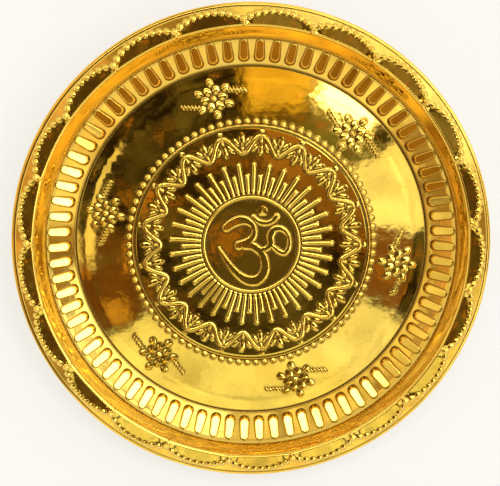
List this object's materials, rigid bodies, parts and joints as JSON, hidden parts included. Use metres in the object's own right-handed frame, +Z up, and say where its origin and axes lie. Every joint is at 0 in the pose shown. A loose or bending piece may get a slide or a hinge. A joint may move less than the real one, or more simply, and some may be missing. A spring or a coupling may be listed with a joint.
{
  "type": "puja thali",
  "caption": "Round pressed brass offering plate with a flat embossed base, a fluted sloping wall and a scalloped rim whose edge is rolled over a wire.",
  "frame": {"origin": "middle of the flat underside that the plate rests on", "axes": "+Z up along the plate's axis, +Y towards the top of the medallion"},
  "size_m": [0.28, 0.28, 0.023],
  "materials": {
    "brass_sheet": "polished",
    "edge_wire": "drawn"
  },
  "bodies": {
    "root": {"thali_plate": "brass_sheet", "rim_wire": "edge_wire"}
  },
  "joints": []
}
